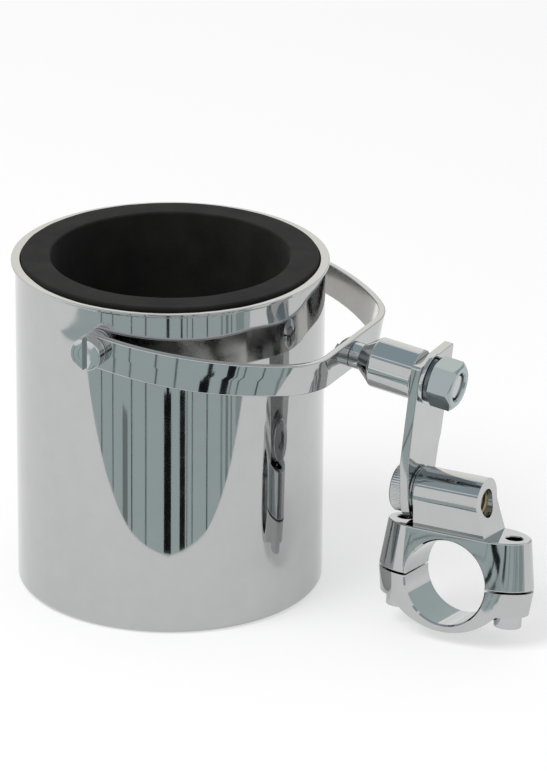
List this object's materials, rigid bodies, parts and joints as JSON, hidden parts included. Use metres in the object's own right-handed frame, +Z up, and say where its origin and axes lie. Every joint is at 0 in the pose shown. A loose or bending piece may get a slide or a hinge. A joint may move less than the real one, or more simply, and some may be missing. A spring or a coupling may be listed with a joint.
{
  "type": "bar clamp drink holder",
  "caption": "Chrome drink cup lined with black foam, hung on pivots in a bent strap; a post and a flat arm carry it from a split clamp for a round bar.",
  "frame": {"origin": "middle of the clamp's bar bore", "axes": "+X along the boss, away from the cup; +Z up; +Y to the rear, the bar bore runs along Y, turned 8 degrees about X"},
  "size_m": [0.1657, 0.1066, 0.1022],
  "materials": {
    "cup_chrome": "bright chrome plating on drawn steel",
    "strap_chrome": "bright chrome plating on flat steel bar",
    "turned_chrome": "bright chrome plating on turned steel",
    "cast_chrome": "bright chrome plating on polished castings",
    "fastener_chrome": "bright chrome plating",
    "black_foam": "matte closed-cell foam"
  },
  "bodies": {
    "clamp": {"clamp_upper": "cast_chrome", "arm_bolt": "fastener_chrome", "arm_washer": "fastener_chrome"},
    "jaw": {"clamp_lower": "cast_chrome"},
    "screw_left": {"clamp_screw_left": "fastener_chrome"},
    "screw_right": {"clamp_screw_right": "fastener_chrome"},
    "arm": {"link_arm": "strap_chrome", "stub_flat_washer": "fastener_chrome"},
    "bail": {"bail_band": "strap_chrome", "bail_screw": "fastener_chrome", "barrel_post": "turned_chrome", "stub_spring_washer": "fastener_chrome", "stub_nut": "fastener_chrome"},
    "cup": {"cup_shell": "cup_chrome", "foam_sleeve": "black_foam", "foam_base_pad": "black_foam", "pivot_screw_front": "fastener_chrome", "pivot_screw_rear": "fastener_chrome", "pivot_washer_front": "fastener_chrome", "pivot_washer_rear": "fastener_chrome", "pivot_spacer_front": "fastener_chrome", "pivot_spacer_rear": "fastener_chrome", "pivot_nut_front": "fastener_chrome", "pivot_nut_rear": "fastener_chrome"}
  },
  "joints": [
    {"name": "jaw_open", "type": "slide", "parent": "clamp", "child": "jaw", "axis": [0, -0.1392, -0.9903], "range_m": [0, 0.005]},
    {"name": "clamp_screw_right_turn", "type": "hinge", "parent": "jaw", "child": "screw_right", "pos_m": [0.0174, 0, 0], "axis": [0, -0.1392, -0.9903], "range_deg": [0, 2260]},
    {"name": "clamp_screw_left_turn", "type": "hinge", "parent": "jaw", "child": "screw_left", "pos_m": [-0.0174, 0, 0], "axis": [0, -0.1392, -0.9903], "range_deg": [0, 2260]},
    {"name": "arm_tilt", "type": "hinge", "parent": "clamp", "child": "arm", "pos_m": [0, 0.00246, 0.02399], "axis": [1, 0, 0], "range_deg": [-75, 75]},
    {"name": "bail_roll", "type": "hinge", "parent": "arm", "child": "bail", "pos_m": [-0.00981, -0.00054, 0.061], "axis": [0.9925, 0, -0.1219], "continuous": true},
    {"name": "cup_swing", "type": "hinge", "parent": "bail", "child": "cup", "pos_m": [-0.09407, -0.00054, 0.07134], "axis": [0, 1, 0], "range_deg": [-14, 25]}
  ],
  "couplings": [
    {"joint": "clamp_screw_left_turn", "follows": "jaw_open", "rad_per_m": 7854},
    {"joint": "clamp_screw_right_turn", "follows": "jaw_open", "rad_per_m": 7854}
  ]
}
